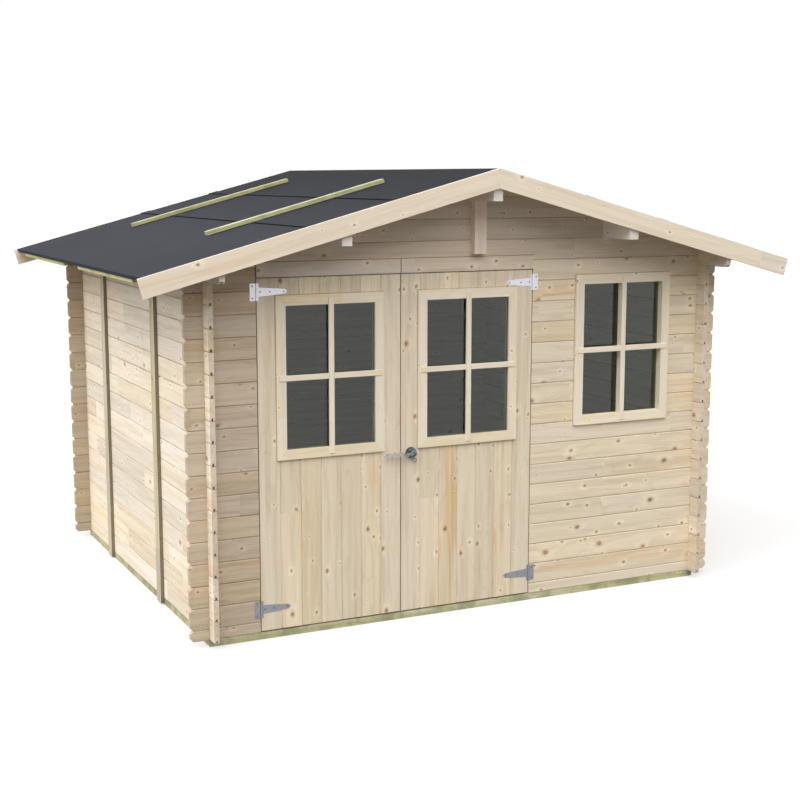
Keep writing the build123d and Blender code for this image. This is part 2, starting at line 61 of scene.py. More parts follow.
class Nodes:
    """The node tree of a new material, with short calls for the nodes that wood and felt need."""

    def __init__(self, name):
        self.material = bpy.data.materials.new(name)
        self.material.use_nodes = True
        self.tree = self.material.node_tree
        self.shader = self.tree.nodes["Principled BSDF"]
        self.place = self.node("ShaderNodeTexCoord").outputs["Object"]
        self.facing = self.place.node.outputs["Normal"]

    def node(self, kind, **settings):
        made = self.tree.nodes.new(kind)
        for setting, value in settings.items():
            setattr(made, setting, value)
        return made

    def feed(self, socket, value):
        if isinstance(value, bpy.types.NodeSocket):
            self.tree.links.new(value, socket)
        else:
            socket.default_value = value

    def math(self, operation, *values, clamp=False):
        made = self.node("ShaderNodeMath", operation=operation, use_clamp=clamp)
        for socket, value in zip(made.inputs, values):
            self.feed(socket, value)
        return made.outputs["Value"]

    def vector(self, operation, *values):
        made = self.node("ShaderNodeVectorMath", operation=operation)
        for socket, value in zip(made.inputs, values):
            self.feed(socket, value)
        scalar = operation in ("DOT_PRODUCT", "LENGTH")
        return made.outputs["Value" if scalar else "Vector"]

    def combine(self, *values):
        made = self.node("ShaderNodeCombineXYZ")
        for socket, value in zip(made.inputs, values):
            self.feed(socket, value)
        return made.outputs["Vector"]

    def random(self, first, second=0.0):
        made = self.node("ShaderNodeTexWhiteNoise", noise_dimensions="3D")
        self.feed(made.inputs["Vector"], self.combine(first, second, 0.0))
        return made.outputs["Value"]

    def noise(self, vector, scale, detail=3.0, roughness=0.55, distortion=0.0):
        made = self.node("ShaderNodeTexNoise")
        self.feed(made.inputs["Vector"], vector)
        for socket, value in (("Scale", scale), ("Detail", detail),
                              ("Roughness", roughness), ("Distortion", distortion)):
            made.inputs[socket].default_value = value
        return made.outputs["Fac"]

    def fit(self, value, low, high, new_low=0.0, new_high=1.0):
        made = self.node("ShaderNodeMapRange", interpolation_type="SMOOTHSTEP")
        for socket, item in zip(made.inputs, (value, low, high, new_low, new_high)):
            self.feed(socket, item)
        return made.outputs["Result"]

    def mix(self, factor, first, second, blend="MIX"):
        made = self.node("ShaderNodeMix", data_type="RGBA", blend_type=blend)
        self.feed(made.inputs["Factor"], factor)
        self.feed(made.inputs[6], first)
        self.feed(made.inputs[7], second)
        return made.outputs[2]

    def choose(self, factor, first, second):
        made = self.node("ShaderNodeMix", data_type="FLOAT")
        self.feed(made.inputs["Factor"], factor)
        self.feed(made.inputs[2], first)
        self.feed(made.inputs[3], second)
        return made.outputs[0]

    def bump(self, height, strength, distance):
        made = self.node("ShaderNodeBump")
        made.inputs["Strength"].default_value = strength
        made.inputs["Distance"].default_value = distance
        self.feed(made.inputs["Height"], height)
        self.feed(self.shader.inputs["Normal"], made.outputs["Normal"])


def knots_in(n, spot, spacing, size):
    """Distance to the nearest knot on the face of a board, in radii of that knot.

    Spacing is the length and width of the cells that hold one knot each. The knots are leaning ovals
    with ragged edges, and some cells have one too small to see.
    """
    cell = n.vector("MULTIPLY", spot, (1 / spacing[0], 1 / spacing[1], 0.0))
    points = n.node("ShaderNodeTexVoronoi", voronoi_dimensions="2D", feature="F1")
    points.inputs["Scale"].default_value = 1.0
    n.feed(points.inputs["Vector"], cell)
    away = n.vector("SUBTRACT", cell, points.outputs["Position"])
    away = n.vector("MULTIPLY", away, (spacing[0], spacing[1], 0.0))
    along_oval = n.vector("DOT_PRODUCT", away, (0.66, 0.3, 0.0))
    across_oval = n.vector("DOT_PRODUCT", away, (-0.28, 0.95, 0.0))
    away = n.combine(along_oval, across_oval, 0.0)
    chance = n.node("ShaderNodeSeparateColor")
    n.feed(chance.inputs["Color"], points.outputs["Color"])
    radius = n.math("MAXIMUM", n.fit(chance.outputs["Red"], 0.42, 1.1, 0.0, size), 0.0004)
    reach = n.math("DIVIDE", n.vector("LENGTH", away), radius)
    ragged = n.noise(n.vector("MULTIPLY", spot, (110.0, 190.0, 1.0)), 1.0, 2.0)
    return n.math("MULTIPLY", reach, n.fit(ragged, 0.25, 0.75, 0.65, 1.35))


def off_box(n, u, v, along, across, box):
    """How far a point lies past the ends and past the sides of a box, as two values."""
    low, high = box
    centre, half = (low + high) / 2, (high - low) / 2
    along, across = Vector(along), Vector(across)
    past_end = n.math("ABSOLUTE", n.math("SUBTRACT", u, centre.dot(along)))
    past_end = n.math("SUBTRACT", past_end, half.dot(along))
    past_side = n.math("ABSOLUTE", n.math("SUBTRACT", v, centre.dot(across)))
    past_side = n.math("SUBTRACT", past_side, half.dot(across))
    return past_end, past_side


def wood(name, light, dark, along, across, board, start=0.0, joint_length=1.1, tone=0.07, knots=1.0,
         rough=0.0, seam=0.0, shift=None, streak=0.6, weather=0.0, shaded_edges=0.0, around=None,
         shadow_frame=None):
    """Pine with grain along one direction, in boards set side by side across another.

    Every board, and every length between its glued joints, has its own tone, grain and knots. A seam
    paints shade and some dust into the bottom of the grooves between boards. Around is the box of a
    mitred frame, in which the level boards have their grain across the upright ones. Round the box of a
    frame laid on the boards, a line of painted shadow darkens the front faces. Weather adds blotches of
    green and brown, and the narrow faces of boards can be darkened with painted shade.
    """
    n = Nodes(name)
    u = n.vector("DOT_PRODUCT", n.place, along)
    v = n.vector("DOT_PRODUCT", n.place, across)
    w = n.vector("DOT_PRODUCT", n.place, Vector(along).cross(Vector(across)))
    if around:
        past_end, past_side = off_box(n, u, v, along, across, around)
        level = n.math("GREATER_THAN", past_end, past_side)
        centre = (around[0] + around[1]) / 2
        beside = n.math("SUBTRACT", v, centre.dot(Vector(across)))
        above = n.math("SUBTRACT", u, centre.dot(Vector(along)))
        far_side = n.math("GREATER_THAN", n.choose(level, beside, above), 0.0)
        row = n.math("MULTIPLY_ADD", level, 2.0, far_side)
        u, v = n.choose(level, u, v), n.choose(level, v, u)
    else:
        rows = n.math("DIVIDE", n.math("SUBTRACT", v, start), board)
        row = n.math("FLOOR", rows)
    run = n.math("ADD", u, n.math("MULTIPLY", n.random(row, 3.7), 9.0) if shift is None else shift)
    length = n.math("FLOOR", n.math("DIVIDE", run, joint_length))
    pick = n.random(row, length)
    second_pick = n.random(length, n.math("ADD", row, 41.3))
    offset = n.combine(n.math("MULTIPLY", pick, 17.0), n.math("MULTIPLY", second_pick, 11.0), 0.0)
    spot = n.vector("ADD", n.combine(run, v, w), offset)

    edgeways = n.math("ABSOLUTE", n.vector("DOT_PRODUCT", n.facing, across))
    on_edge = n.math("GREATER_THAN", edgeways, 0.7)
    face = n.vector("ADD", n.combine(run, n.choose(on_edge, v, w), 0.0), offset)
    large = knots_in(n, face, (0.36, 0.13), 0.0108 * knots)
    small = knots_in(n, n.vector("ADD", face, (3.7, 1.9, 0.0)), (0.15, 0.075), 0.0060 * knots)
    reach = n.math("MINIMUM", large, small)
    end = n.math("ABSOLUTE", n.vector("DOT_PRODUCT", n.facing, along))
    end = 0.0 if around else n.fit(end, 0.75, 0.95)
    core = n.math("MULTIPLY", n.fit(reach, 0.5, 1.15, 1.0, 0.0), n.math("SUBTRACT", 1.0, end))
    glow = n.fit(reach, 1.0, 2.2, 1.0, 0.0)
    pale = n.math("MULTIPLY", n.fit(reach, 1.2, 1.8), n.fit(reach, 2.0, 5.0, 1.0, 0.0))
    halo = n.fit(large, 1.0, 5.5, 1.0, 0.0)

    bent = n.vector("ADD", spot, n.combine(0.0, n.math("MULTIPLY", halo, 0.016), 0.0))
    streaks = n.noise(n.vector("MULTIPLY", bent, (1.1, 26.0, 26.0)), 1.0, 4.0, 0.6, 0.4)
    fine = n.noise(n.vector("MULTIPLY", bent, (9.0, 420.0, 420.0)), 1.0, 2.0)
    wander = n.noise(n.vector("MULTIPLY", bent, (1.1, 5.0, 5.0)), 1.0, 2.0)
    stain = n.noise(n.vector("MULTIPLY", bent, (0.75, 15.0, 15.0)), 1.0, 3.0, 0.6, 0.6)
    layers = n.vector("DOT_PRODUCT", bent, (0.3, 75.0, 40.0))
    ring = n.math("ADD", n.math("MULTIPLY", wander, 26.0), layers)
    ring = n.math("ABSOLUTE", n.math("SINE", ring))
    ring = n.fit(ring, 0.0, 0.5, 1.0, 0.0)
    grain = n.math("ADD", n.fit(streaks, 0.40, 0.68, 0.0, 0.50), n.math("MULTIPLY", ring, 0.20))
    grain = n.math("ADD", grain, n.fit(fine, 0.4, 0.75, 0.0, 0.12))
    grain = n.math("ADD", grain, n.math("MULTIPLY", halo, 0.22), clamp=True)
    colour = n.mix(grain, light, dark)
    heart = n.math("MULTIPLY", n.fit(stain, 0.55, 0.67), n.fit(second_pick, 0.25, 0.8, 0.2, 1.0))
    heart = n.math("MULTIPLY", heart, streak)
    colour = n.mix(heart, colour, n.mix(1.0, colour, heartwood, "MULTIPLY"))
    warm = n.mix(second_pick, (0.98, 0.99, 1.03, 1), (1.0, 0.965, 0.89, 1))
    colour = n.mix(1.0, colour, warm, "MULTIPLY")
    bright = n.fit(pick, 0.0, 1.0, 1.0 - tone, 1.0 + tone * 0.4)
    colour = n.mix(1.0, colour, n.combine(bright, bright, bright), "MULTIPLY")
    surround = n.mix(1.0, colour, knot_surround, "MULTIPLY")
    colour = n.mix(n.math("MULTIPLY", pale, 0.55), colour, surround)
    colour = n.mix(n.math("MULTIPLY", glow, 0.3), colour, knot_ring)
    colour = n.mix(n.math("MULTIPLY", core, 0.85), colour, n.mix(pick, knot_dark, knot_red))
    # Painted shade with some dust: the bottom of the grooves between boards is darkened.
    if seam:
        beside = n.math("FRACT", rows)
        beside = n.math("MINIMUM", beside, n.math("SUBTRACT", 1.0, beside))
        beside = n.math("MULTIPLY", beside, board)
        patchy = n.noise(n.vector("MULTIPLY", spot, (2.5, 9.0, 9.0)), 1.0, 2.0)
        strength = n.fit(patchy, 0.3, 0.65, seam * 0.3, seam)
        colour = n.mix(n.fit(beside, 0.0008, 0.0034, strength, 0.0), colour, dust_and_shade_brown)
    # Painted shadow: a dark line on the front faces round a frame laid on the boards.
    if shadow_frame:
        outside = n.math("MAXIMUM", *off_box(n, u, v, along, across, shadow_frame))
        front = n.fit(n.vector("DOT_PRODUCT", n.facing, (0, -1, 0)), 0.4, 0.6, 0.0, 0.6)
        colour = n.mix(n.fit(outside, 0.001, 0.006, front, 0.0), colour, dust_and_shade_brown)
    if weather:
        blotch = n.noise(n.place, 9.0, 5.0, 0.65)
        colour = n.mix(n.fit(blotch, 0.42, 0.62, 0.0, weather), colour, (0.20, 0.22, 0.10, 1))
        speck = n.noise(n.place, 60.0, 3.0, 0.7)
        colour = n.mix(n.fit(speck, 0.55, 0.75, 0.0, weather), colour, (0.62, 0.60, 0.44, 1))
    # Painted shade: the narrow faces of the boards are darkened.
    if shaded_edges:
        colour = n.mix(n.fit(edgeways, 0.6, 0.9, 0.0, shaded_edges), colour, (0.16, 0.135, 0.09, 1))
    if not around:
        pith = n.vector("ADD", n.combine(0.0, v, w), (0.0, 0.31, 0.17))
        years = n.math("SINE", n.math("MULTIPLY", n.vector("LENGTH", pith), 1900.0))
        end_tone = n.mix(n.fit(years, -0.4, 1.0), (0.94, 0.93, 0.93, 1), (0.80, 0.76, 0.72, 1))
        colour = n.mix(end, colour, n.mix(1.0, colour, end_tone, "MULTIPLY"))
    n.feed(n.shader.inputs["Base Color"], colour)
    n.feed(n.shader.inputs["Roughness"], n.fit(streaks, 0.3, 0.7, 0.55, 0.72))
    n.shader.inputs["Specular IOR Level"].default_value = 0.3
    height = n.math("ADD", n.math("MULTIPLY", grain, -0.6), n.math("MULTIPLY", fine, 0.5 + rough))
    if rough:
        saw = n.noise(n.vector("MULTIPLY", bent, (260.0, 14.0, 14.0)), 1.0, 1.0)
        height = n.math("ADD", height, n.math("MULTIPLY", saw, rough))
    n.bump(height, 0.35, 0.0008)
    return n.material


def dress(material, *names):
    """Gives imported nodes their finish."""
    for name in names:
        nodes[name].data.materials.clear()
        nodes[name].data.materials.append(material)


X, Y, Z = (1, 0, 0), (0, 1, 0), (0, 0, 1)
rail_height = 0.036
dress(wood("treated rail", treated_light, treated_dark, X, Z, rail_height, knots=0.8, rough=0.5,
           weather=0.6),
      "base_rails")


# Side walls
# Interlocking planed pine logs, 28 mm thick, stacked from the rails up. Each has a tongue on top, a
# groove below and notches over the cross logs. Long lengths are glued up from shorter ones.

log_row = 0.114
wall_foot = rail_height
pale_light = (0.86, 0.775, 0.635, 1)
pale_dark = (0.67, 0.56, 0.41, 1)
side_logs = wood("side wall pine", pale_light, pale_dark, Y, Z, log_row, wall_foot, tone=0.12,
                 knots=1.2, seam=0.85)
dress(side_logs, "left_wall_logs", "right_wall_logs")


# Front and back walls
# The same logs laid across, half a log lower, so that they cross the side logs at the corners. The
# front is parted by the doorway and the window, and its last rows are cut to the slope of the roof.
# The logs of the back and those left of the doorway get a darker, browner copy of the same pine:
# painted shade.

pine_light = (0.87, 0.765, 0.585, 1)
pine_dark = (0.66, 0.53, 0.36, 1)
# Painted shade: a darker, browner copy of the pine for the back logs and those left of the doorway.
shaded_pine_light = (0.63, 0.53, 0.405, 1)
shaded_pine_dark = (0.43, 0.335, 0.23, 1)
cross_start = wall_foot - log_row / 2
cross_joints = 2.2
# Painted shade under the roof: the gable logs and the header boards get a darker copy of the pine.
shaded_gable_light = (0.77, 0.68, 0.55, 1)
shaded_gable_dark = (0.58, 0.48, 0.37, 1)
dress(wood("cross wall pine", pine_light, pine_dark, X, Z, log_row, cross_start,
           joint_length=cross_joints, knots=1.3, seam=0.5, shadow_frame=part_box("window_trim")),
      "front_right_logs")
dress(wood("gable pine", shaded_gable_light, shaded_gable_dark, X, Z, log_row, cross_start,
           joint_length=cross_joints, knots=0.9, seam=0.3),
      "front_gable_logs")
dress(wood("shaded cross wall pine", shaded_pine_light, shaded_pine_dark, X, Z, log_row, cross_start,
           joint_length=cross_joints, knots=1.1, seam=0.5),
      "back_wall_logs", "front_left_logs")


# Purlins
# Three deep sawn beams run from gable to gable through the walls, and their ends show under the
# front boards of the roof. They are paler than the planed walls.

whole_board = 5.0
beam_light = (0.97, 0.95, 0.92, 1)
beam_dark = (0.86, 0.82, 0.76, 1)
dress(wood("sawn beam pine", beam_light, beam_dark, Y, Z, 3.0, knots=0.9, rough=0.25),
      "ridge_purlin", "left_purlin", "right_purlin")


# Roof boards
# Thin planed boards run from the ridge to the eaves on both slopes, nailed to the purlins. Their
# lower edges are bevelled, so that a V shows at each joint from below.

sawn_light = (0.70, 0.62, 0.50, 1)
sawn_dark = (0.54, 0.44, 0.31, 1)
pitch = math.radians(14.9)
board_width = 0.0885
board_bevel = 0.004
half_gap = 0.0002
past_eave = 0.002
past_ridge = 0.02
touch = 0.001


def add_box(low, high):
    """A new box between two corners, left in edit mode with all of it selected."""
    bpy.ops.object.select_all(action="DESELECT")
    bpy.ops.mesh.primitive_cube_add(size=1, location=(0, 0, 0))
    bpy.ops.object.mode_set(mode="EDIT")
    size = [b - a for a, b in zip(low, high)]
    middle = [(a + b) / 2 for a, b in zip(low, high)]
    bpy.ops.transform.resize(value=size)
    bpy.ops.transform.translate(value=middle)
    return bpy.context.object


def pick_edges(piece, wanted):
    """Selects the edges whose two ends both pass the test."""
    bpy.ops.mesh.select_mode(type="EDGE")
    bpy.ops.mesh.select_all(action="DESELECT")
    bpy.ops.object.mode_set(mode="OBJECT")
    mesh = piece.data
    for edge in mesh.edges:
        edge.select = all(wanted(mesh.vertices[i].co) for i in edge.vertices)
    bpy.ops.object.mode_set(mode="EDIT")


def place_copy(piece, name, matrix, body):
    """A copy with its own mesh, moved in its mesh, riding on a body."""
    copy = piece.copy()
    copy.data = piece.data.copy()
    copy.name = name
    copy.data.transform(matrix)
    if matrix.determinant() < 0:
        copy.data.flip_normals()
    bpy.context.scene.collection.objects.link(copy)
    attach(copy, body)
    return copy


deck_low, deck_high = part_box("left_roof_deck")
slope_length = (deck_high.x - deck_low.x) / math.cos(pitch)
deck_thickness = 0.016
count = round((deck_high.y - deck_low.y) / board_width)
board_width = (deck_high.y - deck_low.y) / count
board = add_box((-slope_length - past_eave, half_gap, -deck_thickness),
                (past_ridge, board_width - half_gap, 0))
pick_edges(board, lambda co: co.z < -deck_thickness / 2 and (co.y < touch or co.y > board_width - touch))
bpy.ops.mesh.bevel(offset=board_bevel, segments=1)
bpy.ops.object.mode_set(mode="OBJECT")
ridge_height = deck_high.z
board.data.transform(Matrix.Translation((0, deck_low.y, ridge_height)) @ Matrix.Rotation(-pitch, 4, "Y"))
bpy.ops.object.mode_set(mode="EDIT")
bpy.ops.mesh.select_all(action="SELECT")
bpy.ops.mesh.bisect(plane_co=(-half_gap, 0, 0), plane_no=(1, 0, 0), use_fill=True, clear_outer=True)
bpy.ops.object.mode_set(mode="OBJECT")
down_left = (-math.cos(pitch), 0, -math.sin(pitch))
down_right = (math.cos(pitch), 0, -math.sin(pitch))
for side, down, name in ((1, down_left, "left_roof_deck"), (-1, down_right, "right_roof_deck")):
    boards = []
    for i in range(count):
        move = Matrix.Translation((0, i * board_width, 0))
        if side < 0:
            move = Matrix.Scale(-1, 4, (1, 0, 0)) @ move
        boards.append(place_copy(board, name + "_board", move, "shed"))
    bpy.ops.object.select_all(action="DESELECT")
    for piece in boards:
        piece.select_set(True)
    bpy.context.view_layer.objects.active = boards[0]
    bpy.ops.object.join()
    whole = boards[0]
    whole.name = name + "_boards"
    whole.data.materials.clear()
    whole.data.materials.append(wood(name + " pine", sawn_light, sawn_dark, down, Y, board_width,
                                     deck_low.y, joint_length=whole_board, knots=1.1))
    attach(whole, "shed")
    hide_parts(name)
bpy.data.objects.remove(board)


# Roofing felt
# Bitumen felt covered with fine dark mineral, in courses lapped down each slope and bent over the
# ridge, with the lowest course turned down over the ends of the boards.

felt_laps = (0.614, 1.106)
n = Nodes("mineral felt")
grit = n.noise(n.place, 900.0, 2.0, 0.7)
cloud = n.noise(n.place, 1.7, 4.0, 0.6)
shade = n.mix(n.fit(grit, 0.35, 0.7), (0.021, 0.023, 0.029, 1), (0.060, 0.064, 0.076, 1))
shade = n.mix(n.fit(cloud, 0.35, 0.7, 0.0, 0.35), shade, (0.026, 0.029, 0.036, 1))
down_slope = n.node("ShaderNodeSeparateXYZ")
n.feed(down_slope.inputs["Vector"], n.place)
down = n.math("DIVIDE", n.math("ABSOLUTE", down_slope.outputs["X"]), math.cos(pitch))
lap = n.math("MINIMUM", *[n.math("ABSOLUTE", n.math("SUBTRACT", down, edge)) for edge in felt_laps])
# Painted shade: the felt is darker towards the ridge.
shade = n.mix(n.fit(down, 0.0, 1.5, 0.8, 0.0), shade, (0.013, 0.014, 0.017, 1))
shade = n.mix(n.fit(lap, 0.003, 0.008, 0.95, 0.0), shade, (0.006, 0.006, 0.007, 1))
n.feed(n.shader.inputs["Base Color"], shade)
n.shader.inputs["Roughness"].default_value = 0.9
n.shader.inputs["Specular IOR Level"].default_value = 0.07
n.bump(n.math("ADD", n.math("MULTIPLY", cloud, 2.0), grit), 0.5, 0.001)
dress(n.material, "left_felt_eave", "right_felt_eave", "left_felt_middle", "right_felt_middle",
      "felt_ridge")


# Felt battens and eave battens
# Treated battens, two down each slope over the felt and two along each eave under the ends of the
# roof boards. They are greener and less weathered than the base rails.

green_light = (0.56, 0.57, 0.33, 1)
green_dark = (0.34, 0.35, 0.16, 1)
dress(wood("treated batten", green_light, green_dark, down_left, Y, 0.1, joint_length=4.0, knots=0.7,
           rough=0.5, weather=0.35),
      "felt_battens")
eave_light = (0.60, 0.58, 0.28, 1)
eave_dark = (0.40, 0.39, 0.15, 1)
dress(wood("treated eave strip", eave_light, eave_dark, Y, down_left, 0.1, joint_length=4.0, knots=0.7,
           rough=0.5, weather=0.5),
      "eave_battens")


# Barge boards
# Planed boards closing both ends of the roof, mitred at the ridge and cut square at the eaves. The
# pale boards are glued up from lengths of different tone.

barge_light = (0.88, 0.80, 0.665, 1)
barge_dark = (0.74, 0.62, 0.47, 1)
off_left = (-math.sin(pitch), 0, math.cos(pitch))
off_right = (math.sin(pitch), 0, math.cos(pitch))
dress(wood("left barge pine", barge_light, barge_dark, down_left, off_left, 9.0, start=-4.0,
           joint_length=4.0, shift=1.5, knots=1.2),
      "front_left_barge", "back_left_barge")
dress(wood("right barge pine", barge_light, barge_dark, down_right, off_right, 9.0, start=-4.0,
           joint_length=2.4, shift=1.24, knots=1.2),
      "front_right_barge", "back_right_barge")


# Storm braces and ridge blocks
# Upright rough battens stand outside the side walls, their narrow faces darkened with painted shade, and
# short blocks stand against the gables under the ridge beam.

brace_light = (0.56, 0.51, 0.38, 1)
brace_dark = (0.38, 0.33, 0.22, 1)
dress(wood("brace pine", brace_light, brace_dark, Z, Y, 0.4, joint_length=whole_board, knots=1.2,
           rough=0.3, shaded_edges=0.75),
      "storm_braces")
block_light = (0.90, 0.76, 0.62, 1)
block_dark = (0.78, 0.62, 0.47, 1)
dress(wood("block pine", block_light, block_dark, Z, X, 0.3, start=-0.15), "ridge_blocks")


# Window
# A lined hole with a fixed pane behind mitred outer boards. Two slats cross in front of the pane and
# lap over the boards.

trim_light = (0.96, 0.87, 0.69, 1)
trim_dark = (0.83, 0.71, 0.51, 1)
for frame_name in ("window_trim", "window_frame", "left_leaf_trim", "right_leaf_trim"):
    dress(wood(frame_name + " pine", trim_light, trim_dark, Z, X, 0.0, knots=0.6, joint_length=3.0,
               around=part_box(frame_name)), frame_name)
n = Nodes("window glass")
n.shader.inputs["Base Color"].default_value = (0.42, 0.48, 0.42, 1)
n.shader.inputs["Transmission Weight"].default_value = 1.0
n.shader.inputs["IOR"].default_value = 1.5
n.shader.inputs["Specular IOR Level"].default_value = 0.28
n.feed(n.shader.inputs["Roughness"], n.fit(n.noise(n.place, 3.0), 0.3, 0.7, 0.0, 0.03))
glass = n.material
dress(glass, "window_glass", "left_leaf_glass", "right_leaf_glass")

trim_width = 0.052
bar_width = 0.030
bar_face = 0.005
bar_lap = 0.038
bar_rebate = 0.004
bar_bevel = 0.0025


def slat(name, low, high, material, body):
    """One slat: a body that fills the depth from the trim's face to the pane, with eased front edges."""
    piece = add_box(low, high)
    pick_edges(piece, lambda co: co.y < low[1] + bar_face / 2)
    bpy.ops.mesh.bevel(offset=bar_bevel, segments=2)
    bpy.ops.object.mode_set(mode="OBJECT")
    piece.name = name
    piece.data.materials.append(material)
    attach(piece, body)


def window_bars(name, trim, pane, body):
    """Crossed slats in front of a pane.

    Their faces lap over the trim, and the level ones butt at the upright.
    """
    low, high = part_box(trim)
    pane_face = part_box(pane)[0].y
    middle = ((low.x + high.x) / 2, (low.z + high.z) / 2)
    half = bar_width / 2
    front = low.y - bar_face
    left, right = low.x + trim_width, high.x - trim_width
    foot, head = low.z + trim_width, high.z - trim_width
    core = half - bar_rebate
    across, up = middle
    slat(name + "_upright_face", (across - half, front, foot - bar_lap),
         (across + half, low.y, head + bar_lap), bar_upright, body)
    slat(name + "_upright_core", (across - core, low.y, foot), (across + core, pane_face, head),
         bar_upright, body)
    faces = (("left", left - bar_lap, across - half), ("right", across + half, right + bar_lap))
    for side, start, end in faces:
        slat(f"{name}_{side}_face", (start, front, up - half), (end, low.y, up + half), bar_level, body)
    cores = (("left", left, across - core), ("right", across + core, right))
    for side, start, end in cores:
        slat(f"{name}_{side}_core", (start, low.y, up - core), (end, pane_face, up + core), bar_level,
             body)


bar_upright = wood("upright bar pine", trim_light, trim_dark, Z, X, whole_board, start=-2.0, knots=0.4,
                   joint_length=3.0)
bar_level = wood("level bar pine", trim_light, trim_dark, X, Z, whole_board, start=-2.0, knots=0.4,
                 joint_length=3.0)
window_bars("window", "window_trim", "window_glass", "shed")


# Doorway
# Planed boards close the gap over the leaves. Sawn posts stand inside, behind the ends of the logs
# at both sides of the doorway.

# Painted shade under the roof: the header boards take the darker gable colours.
dress(wood("header pine", shaded_gable_light, shaded_gable_dark, X, Z, whole_board, start=-2.0, joint_length=0.9,
           knots=1.2),
      "door_header_boards")
dress(wood("post pine", sawn_light, sawn_dark, Z, X, whole_board, start=-2.0), "door_posts")


# Door leaves
# Two ledged leaves of seven upright tongued boards, each with a pane behind mitred trim and crossed
# slats. Sawn ledges hold the boards together on the inside.

leaf_width = 0.7945
leaf_board = leaf_width / 7
for side in ("left", "right"):
    low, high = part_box(side + "_leaf_boards")
    dress(wood(side + " leaf pine", pine_light, pine_dark, Z, X, leaf_board, low.x, joint_length=4.0,
               tone=0.1, seam=0.2, streak=0.9, shadow_frame=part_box(side + "_leaf_trim")),
          side + "_leaf_boards")
    dress(wood(side + " ledge pine", sawn_light, sawn_dark, X, Z, 0.4), side + "_leaf_ledges")
    window_bars(side + "_leaf", side + "_leaf_trim", side + "_leaf_glass", side + "_leaf")


# Hinges
# Galvanised tee hinges, two to each leaf, pressed from sheet and curled round their pins. The low ones
# are painted darker grey than the high ones: painted light by height. Round-headed screws hold the
# plates to the wall and the straps to the leaves.

n = Nodes("galvanised steel")
spangle = n.node("ShaderNodeTexVoronoi")
spangle.inputs["Scale"].default_value = 160.0
n.feed(spangle.inputs["Vector"], n.place)
crystal = n.fit(spangle.outputs["Distance"], 0.0, 0.7)
lit_zinc = n.mix(crystal, (0.60, 0.60, 0.66, 1), (0.74, 0.73, 0.80, 1))
shaded_zinc = n.mix(crystal, (0.19, 0.20, 0.22, 1), (0.29, 0.30, 0.33, 1))
# Painted light: the high hinges brighter, the low ones darker grey, by height above the floor.
above_ground = n.vector("DOT_PRODUCT", n.place, Z)
n.feed(n.shader.inputs["Base Color"], n.mix(n.fit(above_ground, 0.5, 1.2), shaded_zinc, lit_zinc))
n.shader.inputs["Metallic"].default_value = 0.6
n.feed(n.shader.inputs["Roughness"], n.fit(n.noise(n.place, 120.0), 0.3, 0.7, 0.38, 0.52))
n.bump(spangle.outputs["Distance"], 0.15, 0.0004)
galvanised = n.material
dress(galvanised, "hinge_plates", "left_hinge_straps", "right_hinge_straps")

n = Nodes("screw steel")
worn = n.mix(n.noise(n.place, 700.0), (0.10, 0.10, 0.11, 1), (0.22, 0.22, 0.24, 1))
n.feed(n.shader.inputs["Base Color"], worn)
n.shader.inputs["Metallic"].default_value = 0.7
n.feed(n.shader.inputs["Roughness"], n.fit(n.noise(n.place, 300.0), 0.3, 0.7, 0.4, 0.6))
screw_steel = n.material

head_radius = 0.0042
head_height = 0.0018
socket_rim = 0.0014
socket_depth = 0.0007


def screw_head():
    """A round head with a domed rim and a round socket, on the Y axis with its seat at the origin."""
    bpy.ops.object.select_all(action="DESELECT")
    bpy.ops.mesh.primitive_cylinder_add(vertices=16, radius=head_radius, depth=head_height,
                                        location=(0, 0, 0))
    bpy.ops.object.mode_set(mode="EDIT")
    bpy.ops.transform.rotate(value=math.pi / 2, orient_axis="X", center_override=(0, 0, 0))
    bpy.ops.transform.translate(value=(0, -head_height / 2, 0))
    bpy.ops.object.mode_set(mode="OBJECT")
    head = bpy.context.object
    front = min(vertex.co.y for vertex in head.data.vertices)
    bpy.ops.object.mode_set(mode="EDIT")
    pick_edges(head, lambda co: co.y < front + 0.0001)
    bpy.ops.mesh.bevel(offset=head_height * 0.55, segments=3)
    bpy.ops.mesh.select_mode(type="FACE")
    bpy.ops.mesh.select_all(action="DESELECT")
    bpy.ops.object.mode_set(mode="OBJECT")
    for face in head.data.polygons:
        face.select = face.normal.y < -0.99 and len(face.vertices) > 4
    bpy.ops.object.mode_set(mode="EDIT")
    bpy.ops.mesh.inset(thickness=socket_rim)
    bpy.ops.mesh.extrude_region_move(TRANSFORM_OT_translate={"value": (0, socket_depth, 0)})
    bpy.ops.object.mode_set(mode="OBJECT")
    bpy.ops.object.shade_smooth_by_angle(angle=math.radians(35))
    head.data.materials.append(screw_steel)
    return head


head = screw_head()
strap_screws = (0.020, 0.073, 0.146)
plate_screws = (-0.030, 0.030)
plate_middle = 0.021
plate_half_height = 0.044
pin_radius = 0.0045
strap_seat = 0.0025
for side, inward in (("left", 1), ("right", -1)):
    low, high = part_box(side + "_hinge_straps")
    axis = low.x + pin_radius if inward > 0 else high.x - pin_radius
    face = high.y - strap_seat
    for level, middle in (("low", low.z + plate_half_height), ("high", high.z - plate_half_height)):
        spots = [("strap", axis + inward * along, middle, side + "_leaf") for along in strap_screws]
        plate_x = axis - inward * plate_middle
        spots += [("plate", plate_x, middle + rise, "shed") for rise in plate_screws]
        for i, (part, x, z, body) in enumerate(spots):
            move = Matrix.Translation((x, face, z))
            copy = place_copy(head, f"{side}_{level}_{part}_screw_{i}", move, body)
bpy.data.objects.remove(head)
